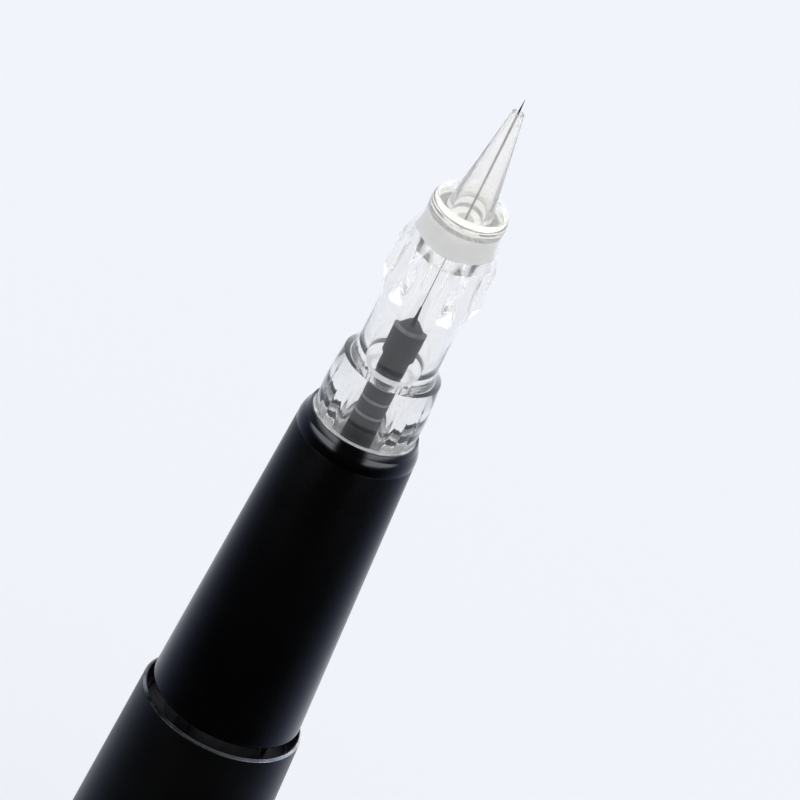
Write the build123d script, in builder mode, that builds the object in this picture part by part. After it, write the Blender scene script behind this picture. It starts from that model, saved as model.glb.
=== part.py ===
"""Rotary cartridge pen: a motor in the handle turns a slanted cam, the cam pushes a drive bar, and the
drive bar works the needle of a clear push-in cartridge. Turning the grip sets the needle's depth.

Millimetres. +Z runs along the pen to the needle's point, and the origin is the centre of the rear face.
"""

from math import cos, radians
import os

from build123d import *

os.makedirs("parts", exist_ok=True)

# ---------------------------------------------------------------- clearances
run_gap = 0.05  # radial, of a running fit
push_gap = 0.03  # radial, of a piece pushed in by hand
seat_gap = 0.02  # radial, between seated pieces that don't move apart
free_gap = 0.3  # between pieces that pass without touching
groove_gap = 0.1  # a ring's groove is this much longer than the ring's wire
bite = 0.1  # how far one form is sunk into the wall that it grows from

# ---------------------------------------------------------------- motions
stroke = 2.5  # of the needle
depth_in = 2.4  # the grip's travel towards the handle

# ---------------------------------------------------------------- handle
cap_flange = 5.0
cap_spigot = 8.0
cap_edge = 1.2
cap_rim_wall = 2.2
seam_cut = 0.3  # bevel on both sides of the seam between cap and handle
ring_wire_r = 0.7  # section radius of the cap's seal ring
ring_from_flange = 2.6
handle_wall = 2.3  # at the full-width band behind
band_len = 19.0  # of the cylindrical band in front of the cap
rim_wall = 0.45  # at the mouth
rim_cut = 0.3  # bevel cut on the mouth's outer edge
mouth_depth = 5.4
bore_step = 0.25  # the mouth is this much wider than the bore behind
rib_len = 1.6
rib_height = 0.7
liner_wall = 0.98

# ---------------------------------------------------------------- power inlet
recess_r = 6.4
recess_depth = 8.0
inlet_set_back = 0.4
inlet_r = 4.15
inlet_wall = 0.55
inlet_flange_r = 5.6
inlet_flange = 1.0
web = 3.0
tag_t = 0.4
tag_w = 2.0
tag_from_nut = 0.25
nut_flats = 11.0
nut_t = 2.0
contact_bore_r = 1.6
contact_wall = 0.48
contact_depth = 7.8
contact_floor = 1.0
contact_tail_r = 1.0
contact_set_back = 0.8  # from the inlet sleeve's rim
insulator_out = 1.0  # the insulator stands this far out of the inlet sleeve
tail_len = 2.5  # behind the insulator
lead_r = 0.45
lead_rise = 1.4

# ---------------------------------------------------------------- motor
motor_r = 8.0
motor_wall = 0.8
motor_face = 1.2
can_len = 27.5
bell_t = 2.0
bell_spigot = 1.5
motor_air = 1.2  # between the can and the liner
lead_room = 7.0  # between the cap's spigot and the motor
boss_r = 2.4
boss_len = 1.5
shaft_r = 1.0
bush_wall = 0.7
magnet_r = 3.9
magnet_len = 20.0
winding_gap = 0.4
hub_t = 1.5
commutator_r = 2.4
commutator_len = 1.5
commutator_gap = 0.1
brush_gap = 0.1
brush_t = 1.1
brush_w = 1.6
terminal_x = 5.5
terminal_t = 0.4
terminal_w = 1.6
terminal_len = 3.5
motor_screw_r = 0.8
motor_screw_head_r = 1.4
motor_screw_ring = 4.2
motor_screw_bite = 1.1
screw_angle = 90  # of the countersunk heads
screw_count = 2

# ---------------------------------------------------------------- drive
frame_flange = 6.7
frame_lip = 0.2
plate_t = 2.8
cam_r = 5.2
cam_air = 0.6
cam_lift_off = 0.7  # the cam's height above the frame's plate
cam_low = 2.5  # the cam's height on its low side
cam_screw_r = 1.0
cam_screw_height = 1.5
foot_x = 3.6
foot_r = 1.2
foot_round = 0.96
foot_len = 2.1
follower_t = 2.0
pin_r = 0.5
pin_side_gap = 0.15
pin_inner = 2.5
snout_wall = 0.8
spring_len = 10.0
spring_r = 3.0
spring_wire_r = 0.3
spring_turns = 6
spring_end_gap = 0.1
bulkhead_t = 4.0
nozzle_len = 4.0
nozzle_wall = 0.4  # left behind the friction ring's groove
guide_wall = 1.23
bar_r = 1.5
friction_ring_r = 0.6
friction_ring_back = 2.0  # its middle, behind the snout's end
friction_gap = 0.1  # the bore over the ring is wider than the running gap by this

# ---------------------------------------------------------------- depth adjuster
click_gap = 0.15
click_t = 1.75
click_notches = 24
notch_r = 0.25
ball_r = 0.8
ball_spring_room = 2.4
ball_wire_r = 0.13
ball_spring_end_gap = 0.05
ball_spring_turns = 5
snap_gap = 0.2
snap_t = 0.6
snap_width = 0.85
key_t = 0.6
key_w = 2.0
key_len = 12.0
key_count = 3
thread_gap = 0.2
sleeve_back = 0.4  # the sleeve stands in this much from the grip's rear end
sleeve_len = 14.9
sleeve_wall = 0.5

# ---------------------------------------------------------------- grip
shoulder_gap = 1.0  # between the grip's rear end and the handle's mouth
shoulder_round = 0.7
nose_room = 2.6  # left in front of the drive frame at the deepest setting
seat_base = 2.7
stem_gap = 0.3
seat_len = 13.0
seat_ring_r = 0.6
seat_ring_up = 2.3
seat_wall = 1.08  # outside the lug slots
nose_r = 8.1
nose_len = 3.0
nose_edge_drop = 0.9
nose_edge_r = 7.6
nose_top_r = 7.3
nose_crown = 0.15  # how far the shoulder stands out of its chord
mouth_recess = 1.0

# ---------------------------------------------------------------- cartridge
stem_r = 4.2
stem_len = 17.0
stem_bore_r = 2.75
lug_h = 0.9
lug_w = 2.0
lug_len = 3.0
lug_up = 4.0
lug_side_gap = 0.2
lug_count = 2
skirt_r = 6.75
skirt_bulge = 0.2
skirt_widest = 3.56  # above the mouth, as the heights that follow
skirt_top = 8.9
neck_r = 5.55
neck_base = 9.9
waist_r = 5.35
waist_at = 14.0
front_r = 5.1
front_top = 33.1
cavity_r = 3.8
cavity_base = 8.1
socket_r = 4.25
socket_base = 26.8
lobe_r = 7.45
lobe_base = 17.5
lobe_peak = 24.0
lobe_top = 32.4
lobe_flank = 0.9  # the flanks are this much lower than the peak, half way along
lobe_steep = 0.6  # the rear flank reaches that height this much later
lobe_root = 0.3  # of wall under the lobes, outside the socket
lobe_count = 4
scallop_r = 4.5
membrane_t = 1.6
membrane_up = 2.0
membrane_gap = 0.3

# ---------------------------------------------------------------- tip
insert_len = 3.6
insert_bore_r = 1.2
tip_spigot = 1.1
dish_floor = 0.2  # above the shell's front end
dish_r = 4.2
rim_height = 1.5
rim_r = 5.05
rim_crest_r = 4.7
rim_groove = 0.2
rim_groove_up = 0.675  # its middle, above the shell's front end
rim_groove_w = 0.3
cone_base_r = 3.1
cone_len = 15.6
cone_tip_r = 0.82
cone_bore_r = 0.4
cone_wall = 0.7

# ---------------------------------------------------------------- plunger and needle
tail_up = 1.0  # the plunger's tail stands in this much from the stem's end
tail_r = 1.7
tail_reach = 5.3
plunger_r = 2.0
plunger_neck_r = 1.85
head_r = 2.2
groove_depth = 0.4
groove_w = 0.4
grooves = (2.5, 4.6, 6.9)
head_base = 11.0
head_top = 15.6
head_edge = 0.45
needle_r = 0.16
needle_grip = 2.6
needle_out = 2.1
needle_taper = 2.6
needle_point_r = 0.02
collar_r = 0.32
collar_len = 3.0

# ================================================================ sums along the pen
z_spigot = cap_flange + cap_spigot
z_web = recess_depth
z_tag = z_web + web
z_nut = z_tag + tag_t
z_inlet_end = z_nut + nut_t
z_contact = inlet_set_back + contact_set_back
z_contact_floor = z_contact + contact_depth
z_contact_back = z_contact_floor + contact_floor
z_insulator_end = z_inlet_end + insulator_out
z_tail = z_insulator_end + tail_len
z_bell = z_spigot + lead_room
z_can = z_bell + bell_t
z_motor = z_can + can_len
z_frame_seat = z_motor + frame_flange
z_rib = z_frame_seat + rib_len
z_frame = z_rib + frame_lip
z_rim = z_rib + mouth_depth
z_cam_room = z_motor + plate_t
z_cam = z_cam_room + cam_lift_off
cam_slope = stroke / (2 * foot_x)
z_cam_mid = z_cam + cam_low + cam_slope * cam_r
z_cam_top = z_cam_mid + cam_slope * cam_r
z_foot = z_cam_top + stroke + free_gap
z_follower = z_foot + foot_len
z_spring = z_follower + follower_t
z_bulkhead = z_spring + spring_len
z_nozzle = z_bulkhead + bulkhead_t
z_snout = z_nozzle + nozzle_len
z_seat = z_snout + depth_in + nose_room
z_seat_floor = z_seat + seat_base
z_stem = z_seat_floor + stem_gap
z_ledge = z_stem + stem_len
z_mouth = z_ledge + mouth_recess
z_seat_end = z_seat + seat_len
z_nose = z_mouth - nose_len
z_grip = z_rim + shoulder_gap
z_bar_end = z_stem + tail_up
z_click = z_frame + click_gap
z_click_top = z_click + click_t
z_snap = z_click_top + snap_gap
z_tip_seat = z_mouth + front_top
z_cone_tip = z_tip_seat + dish_floor + cone_len

# ================================================================ radii that follow
liner_r = motor_r + motor_air
bore_r = liner_r + liner_wall + seat_gap
handle_r = bore_r + handle_wall
rib_r = bore_r - rib_height
mouth_bore_r = bore_r + bore_step
mouth_r = mouth_bore_r + rim_wall
grip_r = mouth_bore_r - free_gap
cam_room_r = cam_r + cam_air
snout_r = cam_room_r + snout_wall
click_bore_r = snout_r + run_gap
key_r = snout_r + free_gap
sleeve_bore_r = snout_r + thread_gap
key_way_r = key_r + key_t + free_gap
sleeve_r = key_way_r + sleeve_wall
grip_bore_r = sleeve_r + seat_gap
nozzle_r = snout_r - 2 * friction_ring_r - nozzle_wall
friction_bore_r = snout_r + free_gap + friction_gap
ball_ring = (snout_r + rib_r) / 2
nose_bore_r = stem_r + free_gap
lug_way_r = stem_r + lug_h + free_gap
seat_r = lug_way_r + seat_wall
mouth_way_r = skirt_r + free_gap
bush_r = shaft_r + run_gap + bush_wall
winding_bore_r = magnet_r + winding_gap
winding_r = motor_r - motor_wall - winding_gap
contact_r = contact_bore_r + contact_wall
insulator_r = inlet_r - inlet_wall - seat_gap

# ================================================================ handle
with BuildPart() as barrel_shell:
    with BuildSketch(Plane.XZ):
        with BuildLine():
            Polyline(
                (bore_r, cap_flange),
                (handle_r - seam_cut, cap_flange),
                (handle_r, cap_flange + seam_cut),
                (handle_r, cap_flange + band_len),
                (mouth_r, z_rim - rim_cut),
                (mouth_r - rim_cut, z_rim),
                (mouth_bore_r, z_rim),
                (mouth_bore_r, z_rib),
                (rib_r, z_rib),
                (rib_r, z_frame_seat),
                (bore_r, z_frame_seat),
                close=True,
            )
        make_face()
    revolve(axis=Axis.Z)

with BuildPart() as rear_cap:
    spigot_r = bore_r - seat_gap
    groove_z = cap_flange + ring_from_flange
    with BuildSketch(Plane.XZ):
        with BuildLine():
            Polyline(
                (recess_r, 0),
                (handle_r - cap_edge, 0),
                (handle_r, cap_edge),
                (handle_r, cap_flange - seam_cut),
                (handle_r - seam_cut, cap_flange),
                (spigot_r, cap_flange),
                (spigot_r, z_spigot),
                (spigot_r - cap_rim_wall, z_spigot),
                (spigot_r - cap_rim_wall, z_tag),
                (inlet_r + seat_gap, z_tag),
                (inlet_r + seat_gap, z_web),
                (recess_r, z_web),
                close=True,
            )
        make_face()
        with Locations((spigot_r - ring_wire_r, groove_z)):
            Rectangle(2 * ring_wire_r + groove_gap, 2 * ring_wire_r + groove_gap, mode=Mode.SUBTRACT)
    revolve(axis=Axis.Z)
    fillet(rear_cap.edges().filter_by(GeomType.CIRCLE).group_by(Axis.Z)[1], cap_edge / 2)

with BuildPart() as cap_seal_ring:
    with BuildSketch(Plane.XZ):
        with Locations((spigot_r - ring_wire_r - seat_gap, groove_z)):
            Circle(ring_wire_r)
    revolve(axis=Axis.Z)

with BuildPart() as liner_tube:
    with BuildSketch(Plane.XY.offset(z_spigot)):
        Circle(bore_r - seat_gap)
        Circle(liner_r, mode=Mode.SUBTRACT)
    extrude(amount=z_motor - z_spigot)

# ================================================================ power inlet
with BuildPart() as inlet_sleeve:
    with BuildSketch(Plane.XZ):
        with BuildLine():
            Polyline(
                (inlet_r - inlet_wall, inlet_set_back),
                (inlet_r, inlet_set_back),
                (inlet_r, z_web - inlet_flange),
                (inlet_flange_r, z_web - inlet_flange),
                (inlet_flange_r, z_web),
                (inlet_r, z_web),
                (inlet_r, z_inlet_end),
                (inlet_r - inlet_wall, z_inlet_end),
                close=True,
            )
        make_face()
    revolve(axis=Axis.Z)

with BuildPart() as inlet_insulator:
    with BuildSketch(Plane.XZ):
        with BuildLine():
            Polyline(
                (contact_r + seat_gap, z_contact),
                (insulator_r, z_contact),
                (insulator_r, z_insulator_end),
                (contact_tail_r + seat_gap, z_insulator_end),
                (contact_tail_r + seat_gap, z_contact_back),
                (contact_r + seat_gap, z_contact_back),
                close=True,
            )
        make_face()
    revolve(axis=Axis.Z)

with BuildPart() as inlet_contact:
    with BuildSketch(Plane.XZ):
        with BuildLine():
            Polyline(
                (contact_bore_r, z_contact),
                (contact_r, z_contact),
                (contact_r, z_contact_back),
                (contact_tail_r, z_contact_back),
                (contact_tail_r, z_tail),
                (0, z_tail),
                (0, z_contact_floor),
                (contact_bore_r, z_contact_floor),
                close=True,
            )
        make_face()
    revolve(axis=Axis.Z)

with BuildPart() as inlet_nut:
    with BuildSketch(Plane.XY.offset(z_nut)):
        RegularPolygon(nut_flats / 2, 6, major_radius=False)
        Circle(inlet_r + seat_gap, mode=Mode.SUBTRACT)
    extrude(amount=nut_t)

with BuildPart() as ground_tag:
    tab_x = nut_flats / 2 / cos(radians(30)) + tag_from_nut
    with BuildSketch(Plane.XY.offset(z_tag)):
        Circle(nut_flats / 2)
        with Locations(((tab_x + tag_t) / 2, 0)):
            Rectangle(tab_x + tag_t, tag_w)
        Circle(inlet_r + seat_gap, mode=Mode.SUBTRACT)
    extrude(amount=tag_t)
    with BuildSketch(Plane.XY.offset(z_tag)):
        with Locations((tab_x + tag_t / 2, 0)):
            Rectangle(tag_t, tag_w)
    extrude(amount=z_tail - z_tag)

with BuildPart() as leads:
    lead_z = z_tail + lead_rise
    far_end = terminal_x - terminal_t / 2
    with BuildLine() as long_lead:
        FilletPolyline((0, 0, z_tail), (0, 0, lead_z), (-far_end, 0, lead_z), radius=lead_r * 2)
    with BuildSketch(Plane.XY.offset(z_tail)):
        Circle(lead_r)
    sweep(path=long_lead.wires()[0])
    tag_x = tab_x + tag_t / 2
    with BuildSketch(Plane.XY.offset(z_tail)):
        with Locations((tag_x, 0)):
            Circle(lead_r)
    extrude(amount=lead_rise + lead_r)
    with BuildSketch(Plane.YZ.offset(terminal_x + terminal_t / 2)):
        with Locations((0, lead_z)):
            Circle(lead_r)
    extrude(amount=tag_x - terminal_x - terminal_t / 2)

# ================================================================ motor
with BuildPart() as motor_can:
    with BuildSketch(Plane.XZ):
        with BuildLine():
            Polyline(
                (motor_r - motor_wall, z_can),
                (motor_r, z_can),
                (motor_r, z_motor),
                (boss_r, z_motor),
                (boss_r, z_motor + boss_len),
                (bush_r + seat_gap, z_motor + boss_len),
                (bush_r + seat_gap, z_motor - motor_face),
                (motor_r - motor_wall, z_motor - motor_face),
                close=True,
            )
        make_face()
    revolve(axis=Axis.Z)
    with BuildSketch(Plane.XY.offset(z_motor)):
        with PolarLocations(motor_screw_ring, screw_count, start_angle=90):
            Circle(motor_screw_r + seat_gap)
    extrude(amount=-motor_face, mode=Mode.SUBTRACT)

with BuildPart() as motor_end_bell:
    with BuildSketch(Plane.XY.offset(z_bell)):
        Circle(motor_r)
    extrude(amount=bell_t)
    with BuildSketch(Plane.XY.offset(z_can)):
        Circle(motor_r - motor_wall - seat_gap)
    extrude(amount=bell_spigot)
    with BuildSketch(Plane.XY.offset(z_bell)):
        Circle(bush_r + seat_gap)
    extrude(amount=bell_t + bell_spigot, mode=Mode.SUBTRACT)

with BuildPart() as motor_bearings:
    for base, height in ((z_bell, bell_t + bell_spigot), (z_motor - motor_face, motor_face + boss_len)):
        with BuildSketch(Plane.XY.offset(base)):
            Circle(bush_r)
            Circle(shaft_r + run_gap, mode=Mode.SUBTRACT)
        extrude(amount=height)

with BuildPart() as motor_magnet:
    with BuildSketch(Plane.XY.offset(z_motor - motor_face)):
        Circle(magnet_r)
        Circle(shaft_r + 2 * free_gap, mode=Mode.SUBTRACT)
    extrude(amount=-magnet_len)

with BuildPart() as motor_brushes:
    brush_z = z_can + bell_spigot
    brush_x = commutator_r + brush_gap
    for side in (-1, 1):
        with BuildSketch(Plane.XY.offset(brush_z)):
            with Locations((side * (brush_x + brush_t / 2), 0)):
                Rectangle(brush_t, brush_w)
        extrude(amount=commutator_len)

with BuildPart() as motor_terminals:
    with BuildSketch(Plane.XY.offset(z_bell)):
        with Locations((-terminal_x, 0), (terminal_x, 0)):
            Rectangle(terminal_t, terminal_w)
    extrude(amount=-terminal_len)

with BuildPart() as motor_screws:
    head_len = motor_screw_head_r - motor_screw_r
    with BuildSketch(Plane.XY.offset(z_motor - motor_screw_bite)):
        with PolarLocations(motor_screw_ring, screw_count, start_angle=90):
            Circle(motor_screw_r)
    extrude(amount=plate_t + motor_screw_bite)
    with Locations(Plane.XY.offset(z_cam_room - head_len / 2)):
        with PolarLocations(motor_screw_ring, screw_count, start_angle=90):
            Cone(motor_screw_r, motor_screw_head_r, head_len)

# ================================================================ rotor
with BuildPart() as motor_shaft:
    with BuildSketch(Plane.XY.offset(z_bell + free_gap)):
        Circle(shaft_r)
    extrude(amount=z_cam_mid - z_bell - 2 * free_gap)

with BuildPart() as motor_winding:
    winding_end = z_motor - motor_face - winding_gap
    hub_z = z_can + bell_spigot + commutator_len
    with BuildSketch(Plane.XZ):
        with BuildLine():
            Polyline(
                (shaft_r + seat_gap, hub_z),
                (winding_r, hub_z),
                (winding_r, winding_end),
                (winding_bore_r, winding_end),
                (winding_bore_r, hub_z + hub_t),
                (shaft_r + seat_gap, hub_z + hub_t),
                close=True,
            )
        make_face()
    revolve(axis=Axis.Z)

with BuildPart() as motor_commutator:
    with BuildSketch(Plane.XY.offset(hub_z)):
        Circle(commutator_r)
        Circle(shaft_r + seat_gap, mode=Mode.SUBTRACT)
    extrude(amount=commutator_gap - commutator_len)

with BuildPart() as swash_cam:
    with BuildSketch(Plane.XY.offset(z_cam)):
        Circle(cam_r)
        Circle(shaft_r + seat_gap, mode=Mode.SUBTRACT)
    extrude(amount=z_cam_top - z_cam + free_gap)
    split(bisect_by=Plane(origin=(0, 0, z_cam_mid), z_dir=(-cam_slope, 0, 1)), keep=Keep.BOTTOM)
    with BuildSketch(Plane.XZ):
        with Locations((0, z_cam + cam_screw_height)):
            Circle(cam_screw_r + seat_gap)
    extrude(amount=cam_r + free_gap, mode=Mode.SUBTRACT)

with BuildPart() as cam_set_screw:
    with BuildSketch(Plane.XZ.offset(shaft_r + seat_gap)):
        with Locations((0, z_cam + cam_screw_height)):
            Circle(cam_screw_r)
    extrude(amount=cam_r - shaft_r - free_gap)

# ================================================================ drive frame
with BuildPart() as drive_frame:
    with BuildSketch(Plane.XZ):
        with BuildLine():
            Polyline(
                (boss_r + seat_gap, z_motor),
                (bore_r - seat_gap, z_motor),
                (bore_r - seat_gap, z_frame_seat),
                (rib_r - seat_gap, z_frame_seat),
                (rib_r - seat_gap, z_frame),
                (snout_r, z_frame),
                (snout_r, z_snout),
                (nozzle_r, z_snout),
                (nozzle_r, z_nozzle),
                (bar_r + run_gap + guide_wall + seat_gap, z_nozzle),
                (bar_r + run_gap + guide_wall + seat_gap, z_bulkhead),
                (cam_room_r, z_bulkhead),
                (cam_room_r, z_cam_room),
                (boss_r + seat_gap, z_cam_room),
                close=True,
            )
        make_face()
        with Locations((snout_r - friction_ring_r, z_snout - friction_ring_back)):
            Rectangle(2 * friction_ring_r, 2 * friction_ring_r + groove_gap, mode=Mode.SUBTRACT)
    revolve(axis=Axis.Z)
    with Locations(Plane.XY.offset(z_cam_room)):
        with PolarLocations(motor_screw_ring, screw_count, start_angle=90):
            CounterSinkHole(
                motor_screw_r + seat_gap, motor_screw_head_r + seat_gap, plate_t, screw_angle
            )
    with BuildSketch(Plane.XY.offset(z_frame)):
        with PolarLocations(ball_ring, 1):
            Circle(ball_r + run_gap)
    extrude(amount=-(ball_spring_room + 2 * ball_r), mode=Mode.SUBTRACT)
    pin_z = z_follower + follower_t / 2
    pin_way = pin_r + pin_side_gap
    with BuildSketch(Plane.YZ.offset(-snout_r - free_gap)):
        with Locations((0, pin_z - stroke / 2)):
            SlotCenterToCenter(stroke, 2 * pin_way, rotation=90)
    extrude(amount=snout_r, mode=Mode.SUBTRACT)

with BuildPart() as guide_bush:
    with BuildSketch(Plane.XY.offset(z_bulkhead)):
        Circle(bar_r + run_gap + guide_wall)
        Circle(bar_r + run_gap, mode=Mode.SUBTRACT)
    extrude(amount=bulkhead_t)

with BuildPart() as friction_ring:
    with BuildSketch(Plane.XZ):
        with Locations((friction_bore_r - run_gap - friction_ring_r, z_snout - friction_ring_back)):
            Circle(friction_ring_r)
    revolve(axis=Axis.Z)

# ================================================================ drive bar
with BuildPart() as drive_bar:
    with BuildSketch(Plane.XY.offset(z_follower)):
        Circle(bar_r)
    extrude(amount=z_bar_end - z_follower)

with BuildPart() as cam_follower:
    with BuildSketch(Plane.XY.offset(z_follower)):
        Circle(cam_r)
    extrude(amount=follower_t)
    with BuildSketch(Plane.XY.offset(z_foot)):
        with Locations((foot_x, 0)):
            Circle(foot_r)
    extrude(amount=foot_len)
    fillet(cam_follower.edges().group_by(Axis.Z)[0], foot_round)
    with BuildSketch(Plane.XY.offset(z_follower)):
        Circle(bar_r + seat_gap)
    extrude(amount=follower_t, mode=Mode.SUBTRACT)
    with BuildSketch(Plane.YZ.offset(-cam_r)):
        with Locations((0, pin_z)):
            Circle(pin_r + seat_gap)
    extrude(amount=cam_r - pin_inner, mode=Mode.SUBTRACT)

with BuildPart() as anti_turn_pin:
    with BuildSketch(Plane.YZ.offset(-pin_inner)):
        with Locations((0, pin_z)):
            Circle(pin_r)
    extrude(amount=-(snout_r - pin_inner - free_gap))

with BuildPart() as return_spring:
    coil_len = spring_len - 2 * spring_wire_r - 2 * spring_end_gap
    coil_base = z_spring + spring_wire_r + spring_end_gap
    with BuildLine() as coil:
        Helix(coil_len / spring_turns, coil_len, spring_r, center=(0, 0, coil_base))
    with BuildSketch(Plane(origin=coil.line @ 0, z_dir=coil.line % 0)):
        Circle(spring_wire_r)
    sweep(path=coil.line)

# ================================================================ depth adjuster
with BuildPart() as click_ring:
    with BuildSketch(Plane.XY.offset(z_click)):
        Circle(mouth_bore_r - free_gap)
        Circle(click_bore_r, mode=Mode.SUBTRACT)
    extrude(amount=click_t)
    with BuildSketch(Plane.XY.offset(z_click)):
        with PolarLocations(0, key_count):
            with Locations((key_r + key_t / 2, 0)):
                Rectangle(key_t, key_w)
    extrude(amount=click_t + key_len)
    with PolarLocations(0, click_notches):
        with Locations(Location((ball_ring, 0, z_click), (0, 90, 0))):
            Cylinder(notch_r, 2 * ball_r, mode=Mode.SUBTRACT)

with BuildPart() as detent_ball:
    with Locations((ball_ring, 0, z_frame - ball_r)):
        Sphere(ball_r)

with BuildPart() as detent_spring:
    ball_coil = ball_spring_room - 2 * ball_wire_r - 2 * ball_spring_end_gap
    ball_coil_r = ball_r - 2 * ball_wire_r
    ball_coil_base = z_frame - 2 * ball_r - ball_spring_room + ball_wire_r + ball_spring_end_gap
    with BuildLine() as small_coil:
        Helix(ball_coil / ball_spring_turns, ball_coil, ball_coil_r, center=(ball_ring, 0, ball_coil_base))
    with BuildSketch(Plane(origin=small_coil.line @ 0, z_dir=small_coil.line % 0)):
        Circle(ball_wire_r)
    sweep(path=small_coil.line)

with BuildPart() as retaining_ring:
    with BuildSketch(Plane.XY.offset(z_snap)):
        Circle(mouth_bore_r - seat_gap)
        Circle(mouth_bore_r - snap_width, mode=Mode.SUBTRACT)
    extrude(amount=snap_t)

# ================================================================ grip
with BuildPart() as grip_shell:
    z_sleeve_end = z_grip + sleeve_back + sleeve_len
    z_friction_end = z_snout + depth_in + free_gap
    with BuildSketch(Plane.XZ):
        with BuildLine():
            FilletPolyline(
                (grip_bore_r, z_grip),
                (grip_r, z_grip),
                (nose_r, z_nose),
                radius=shoulder_round,
            )
            Polyline(
                (nose_r, z_nose),
                (seat_r + seat_gap, z_nose),
                (seat_r + seat_gap, z_friction_end),
                (friction_bore_r, z_friction_end),
                (friction_bore_r, z_sleeve_end),
                (grip_bore_r, z_sleeve_end),
                (grip_bore_r, z_grip),
            )
        make_face()
    revolve(axis=Axis.Z)

with BuildPart() as thread_sleeve:
    with BuildSketch(Plane.XY.offset(z_grip + sleeve_back)):
        Circle(sleeve_r)
        Circle(sleeve_bore_r, mode=Mode.SUBTRACT)
        with PolarLocations(0, key_count):
            with Locations((key_way_r / 2, 0)):
                Rectangle(key_way_r, key_w + 2 * free_gap, mode=Mode.SUBTRACT)
    extrude(amount=sleeve_len)

with BuildPart() as cartridge_seat:
    ring_z = z_stem + seat_ring_up
    with BuildSketch(Plane.XZ):
        with BuildLine():
            Polyline(
                (bar_r + 3 * free_gap, z_seat),
                (seat_r, z_seat),
                (seat_r, z_seat_end),
                (stem_r + push_gap, z_seat_end),
                (stem_r + push_gap, z_seat_floor),
                (bar_r + 3 * free_gap, z_seat_floor),
                close=True,
            )
        make_face()
        with Locations((stem_r + seat_ring_r, ring_z)):
            Rectangle(2 * (seat_ring_r + bite), 2 * seat_ring_r + groove_gap, mode=Mode.SUBTRACT)
    revolve(axis=Axis.Z)
    with BuildSketch(Plane.XY.offset(z_stem + lug_up - free_gap)):
        with PolarLocations(0, lug_count):
            with Locations((lug_way_r / 2, 0)):
                Rectangle(lug_way_r, lug_w + 2 * lug_side_gap)
    extrude(amount=z_seat_end - z_stem, mode=Mode.SUBTRACT)

with BuildPart() as seat_grip_ring:
    with BuildSketch(Plane.XZ):
        with Locations((stem_r + push_gap + seat_ring_r, ring_z)):
            Circle(seat_ring_r)
    revolve(axis=Axis.Z)

with BuildPart() as nose_ring:
    z_nose_edge = z_mouth - nose_edge_drop
    with BuildSketch(Plane.XZ):
        with BuildLine():
            Polyline(
                (nose_bore_r, z_seat_end),
                (seat_r, z_seat_end),
                (seat_r, z_nose),
                (nose_r, z_nose),
            )
            ThreePointArc(
                (nose_r, z_nose),
                ((nose_r + nose_edge_r) / 2 + nose_crown, (z_nose + z_nose_edge) / 2 + nose_crown),
                (nose_edge_r, z_nose_edge),
            )
            Polyline(
                (nose_edge_r, z_nose_edge),
                (nose_top_r, z_mouth),
                (mouth_way_r, z_mouth),
                (mouth_way_r, z_ledge),
                (nose_bore_r, z_ledge),
                (nose_bore_r, z_seat_end),
            )
        make_face()
    revolve(axis=Axis.Z)
    with BuildSketch(Plane.XY.offset(z_seat_end)):
        with PolarLocations(0, lug_count):
            with Locations((lug_way_r / 2, 0)):
                Rectangle(lug_way_r, lug_w + 2 * lug_side_gap)
    extrude(amount=z_mouth - z_seat_end, mode=Mode.SUBTRACT)

# ================================================================ cartridge
with BuildPart() as cartridge_shell:
    with BuildSketch(Plane.XZ):
        with BuildLine():
            Polyline(
                (stem_bore_r, z_stem),
                (stem_r, z_stem),
                (stem_r, z_ledge),
                (skirt_r, z_ledge),
            )
            Spline(
                (skirt_r, z_ledge),
                (skirt_r + skirt_bulge, z_mouth + skirt_widest),
                (skirt_r - skirt_bulge, z_mouth + skirt_top),
            )
            Polyline(
                (skirt_r - skirt_bulge, z_mouth + skirt_top),
                (neck_r, z_mouth + neck_base),
            )
            Spline(
                (neck_r, z_mouth + neck_base),
                (waist_r, z_mouth + waist_at),
                (waist_r, z_mouth + lobe_peak),
                (front_r, z_tip_seat),
            )
            Polyline(
                (front_r, z_tip_seat),
                (socket_r, z_tip_seat),
                (socket_r, z_mouth + socket_base),
                (cavity_r, z_mouth + socket_base),
                (cavity_r, z_mouth + cavity_base),
                (stem_bore_r, z_mouth + cavity_base),
                (stem_bore_r, z_stem),
            )
        make_face()
    revolve(axis=Axis.Z)
    with BuildSketch(Plane.XY.offset(z_stem + lug_up)):
        with PolarLocations(0, lug_count):
            with Locations((stem_r + lug_h / 2 - bite, 0)):
                Rectangle(lug_h + 2 * bite, lug_w)
    extrude(amount=lug_len)

with BuildPart() as lobes:
    with BuildSketch(Plane.XZ):
        with BuildLine():
            Spline(
                (waist_r - bite, z_mouth + lobe_base),
                (lobe_r - lobe_flank, z_mouth + (lobe_base + lobe_peak) / 2 + lobe_steep),
                (lobe_r, z_mouth + lobe_peak),
                (lobe_r - lobe_flank, z_mouth + (lobe_peak + lobe_top) / 2),
                (front_r, z_mouth + lobe_top),
            )
            Polyline(
                (front_r, z_mouth + lobe_top),
                (socket_r + lobe_root, z_mouth + lobe_top),
                (socket_r + lobe_root, z_mouth + lobe_base),
                (waist_r - bite, z_mouth + lobe_base),
            )
        make_face()
    revolve(axis=Axis.Z)
    with BuildSketch(Plane.XY.offset(z_mouth + lobe_base)):
        with PolarLocations(waist_r + scallop_r, lobe_count):
            Circle(scallop_r)
    extrude(amount=lobe_top - lobe_base, mode=Mode.SUBTRACT)

with cartridge_shell:
    add(lobes.part)

with BuildPart() as membrane:
    with BuildSketch(Plane.XY.offset(z_stem + membrane_up)):
        Circle(stem_bore_r - seat_gap)
        Circle(tail_r + membrane_gap, mode=Mode.SUBTRACT)
    extrude(amount=membrane_t)

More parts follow.
